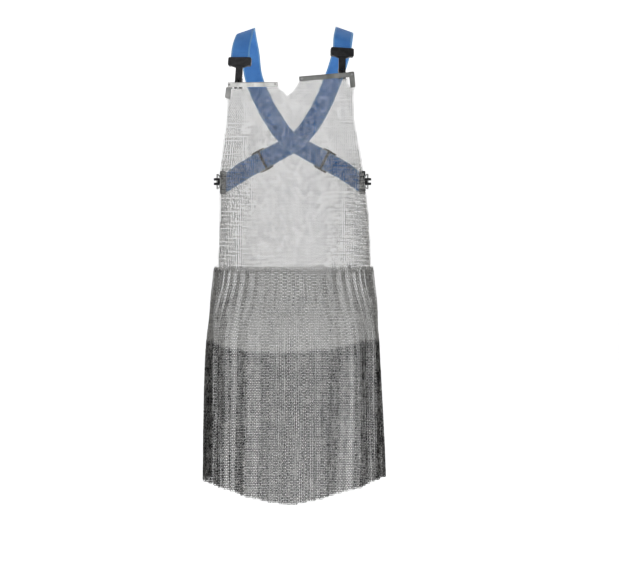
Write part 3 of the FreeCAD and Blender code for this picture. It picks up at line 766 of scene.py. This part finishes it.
def strap_back(side):
    """From the top of the shoulder down and across the back to the other side's rear hook."""
    s, lift = SIGN[side], CROSS_LIFT[side]
    other = "left" if side == "right" else "right"
    centre, _, through, up = hook_frame(other, "rear")
    x, z = abs(SHOULDER_X[side]), SHOULDER_Z[side]
    begin = np.array((-s * ADJUST_START[0], ADJUST_START[1] + lift, ADJUST_START[2]))
    end = np.array((-s * ADJUST_END[0], ADJUST_END[1], ADJUST_END[2]))
    out = unit(np.array((-(end - begin)[1], (end - begin)[0], 0)))
    out = out if out[1] > 0 else -out
    points = [(s * x, SHOULDER_Y, z), (s * x, 0.024, z - 0.006), (s * (x - 0.007), 0.062, -0.038),
              (s * 0.086, 0.096, -0.092), (s * 0.056, 0.118 + lift, -0.158),
              (s * 0.014, 0.126 + lift, -0.218), begin,
              *(begin + (end - begin) * k for k in SLIDER_STRAIGHT),
              end, (-s * 0.136, 0.080, -0.311), centre + up * LOOP_TOP]
    faces = [(s * SHOULDER_TILT, -0.05, 1), (s * 0.3, 0.4, 0.9), (s * 0.2, 0.8, 0.6),
             (s * 0.25, 0.95, 0.25), (s * 0.1, 1, 0.1), (-s * 0.1, 1, 0),
             out, out, out, out, out, out, (-s * 0.8, 0.6, 0), -through]
    line, outward = strap_line(points, faces, BACK_POINTS, OVER_SHOULDER, -up)
    obj = web_mesh(f"{side}_strap_back", line, outward)
    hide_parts(f"{side}_shoulder_strap_back", f"{side}_shoulder_strap_adjust",
                f"{side}_shoulder_strap_side")
    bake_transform(obj)
    beside, facing = line[RETURN_FROM:RETURN_TO], outward[RETURN_FROM:RETURN_TO]
    doubled = web_mesh(f"{side}_strap_doubled", beside + unit_rows(facing) * RETURN_LIFT, facing)
    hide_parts(f"{side}_strap_return")
    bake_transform(doubled)


# ---------------------------------------------------------------- CAD parts that keep their shape
def give_material(obj, mat):
    for slot in obj.material_slots:
        slot.material = mat


def finish_hardware():
    """Final materials for the steel and plastic parts; the right stay and tail are duller."""
    kinds = {"stay_channel": POLISHED, "clamped_rings": GREY_STEEL, "stay_tail": FITTING,
             "stay_rivets": FITTING, "stay_rod": FITTING, "stay_lugs": FITTING,
             "side_ring": FITTING, "gate_pin": FITTING, "web_pin": FITTING,
             "hook_gate": PLASTIC, "hook": PLASTIC, "strap_slider": PLASTIC}
    for name, obj in frame["nodes"].items():
        for ending, mat in kinds.items():
            if name.endswith(ending):
                give_material(obj, mat)
                break
    for name in ("right_stay_channel", "right_stay_tail"):
        give_material(frame["nodes"][name], GREY_STEEL)


# ---------------------------------------------------------------- studio
VIEW_WIDE = 1.3206                      # width that the picture spans at the apron
VIEW_CENTRE, EYE_AWAY = (0.0362, -0.10, -0.547), 6.0
SENSOR_MM = 36
FLOOR_Z, FLOOR_HALF, FLOOR_FRONT = -1.20, 8, -6.0
WALL_START, WALL_CURVE, WALL_TOP = 3.0, 1.5, 6.0
FLOOR_GLOW = 0.60
AIM = (0, 0, -0.5)


def point_camera(scene):
    camera = bpy.data.cameras.new("camera")
    camera.sensor_width = SENSOR_MM
    camera.lens = SENSOR_MM * EYE_AWAY / VIEW_WIDE
    eye = add_object("camera", camera)
    eye.location = Vector(VIEW_CENTRE) + Vector((0, -EYE_AWAY, 0))
    eye.rotation_euler = (math.radians(90), 0, 0)
    scene.camera = eye


def lay_floor():
    """Plain pale floor that curves up into a wall."""
    mesh = bpy.data.meshes.new("floor")
    profile = [(FLOOR_FRONT, 0.0), (WALL_START, 0.0)]
    profile += [(WALL_START + WALL_CURVE * math.sin(a), WALL_CURVE - WALL_CURVE * math.cos(a))
                for a in np.linspace(0.1, math.pi / 2, 12)]
    profile.append((WALL_START + WALL_CURVE, WALL_TOP))
    verts = [(x, y, FLOOR_Z + z) for x in (-FLOOR_HALF, FLOOR_HALF) for y, z in profile]
    n = len(profile)
    mesh.from_pydata(verts, [], [(i, n + i, n + i + 1, i + 1) for i in range(n - 1)])
    mat, tree, shader = new_material("studio_floor", (0.9, 0.9, 0.9), 0.9)
    shader.inputs["Emission Color"].default_value = (1, 1, 1, 1)
    shader.inputs["Emission Strength"].default_value = FLOOR_GLOW
    grain = object_noise(tree, 4, 3)
    tree.links.new(ramp(tree, grain, (0.88, 0.88, 0.88), (0.93, 0.93, 0.93)),
                   shader.inputs["Base Color"])
    mesh.materials.append(mat)
    for poly in mesh.polygons:
        poly.use_smooth = True
    add_object("floor", mesh)


def area_light(name, place, size, power):
    lamp = bpy.data.lights.new(name, "AREA")
    lamp.shape, lamp.energy = "RECTANGLE", power
    lamp.size, lamp.size_y = size
    obj = add_object(name, lamp)
    obj.location = place
    obj.rotation_euler = (Vector(AIM) - Vector(place)).to_track_quat("-Z", "Y").to_euler()


def studio():
    scene = bpy.context.scene
    point_camera(scene)
    lay_floor()
    area_light("key", (-2.6, -3.0, 1.8), (2.0, 2.0), 24)
    area_light("fill", (2.8, -2.6, 0.6), (2.5, 2.5), 10)
    area_light("front", (0, -7.0, 0.4), (6.0, 3.0), 40)
    area_light("top", (0, 0.5, 2.6), (2.5, 2.5), 14)
    area_light("back", (0.5, 3.2, 1.2), (2.5, 2.5), 8)
    world = bpy.data.worlds.new("studio")
    world.use_nodes = True
    background = world.node_tree.nodes["Background"]
    background.inputs["Color"].default_value = (1, 1, 1, 1)
    background.inputs["Strength"].default_value = 0.15
    scene.world = world
    scene.view_settings.view_transform = "Standard"


studio()
finish_hardware()
bib()
skirt()
waist_join()
for side in SIDES:
    front = web_loop(side, "front")
    web_loop(side, "rear")
    strap_front(side, front)
    strap_back(side)
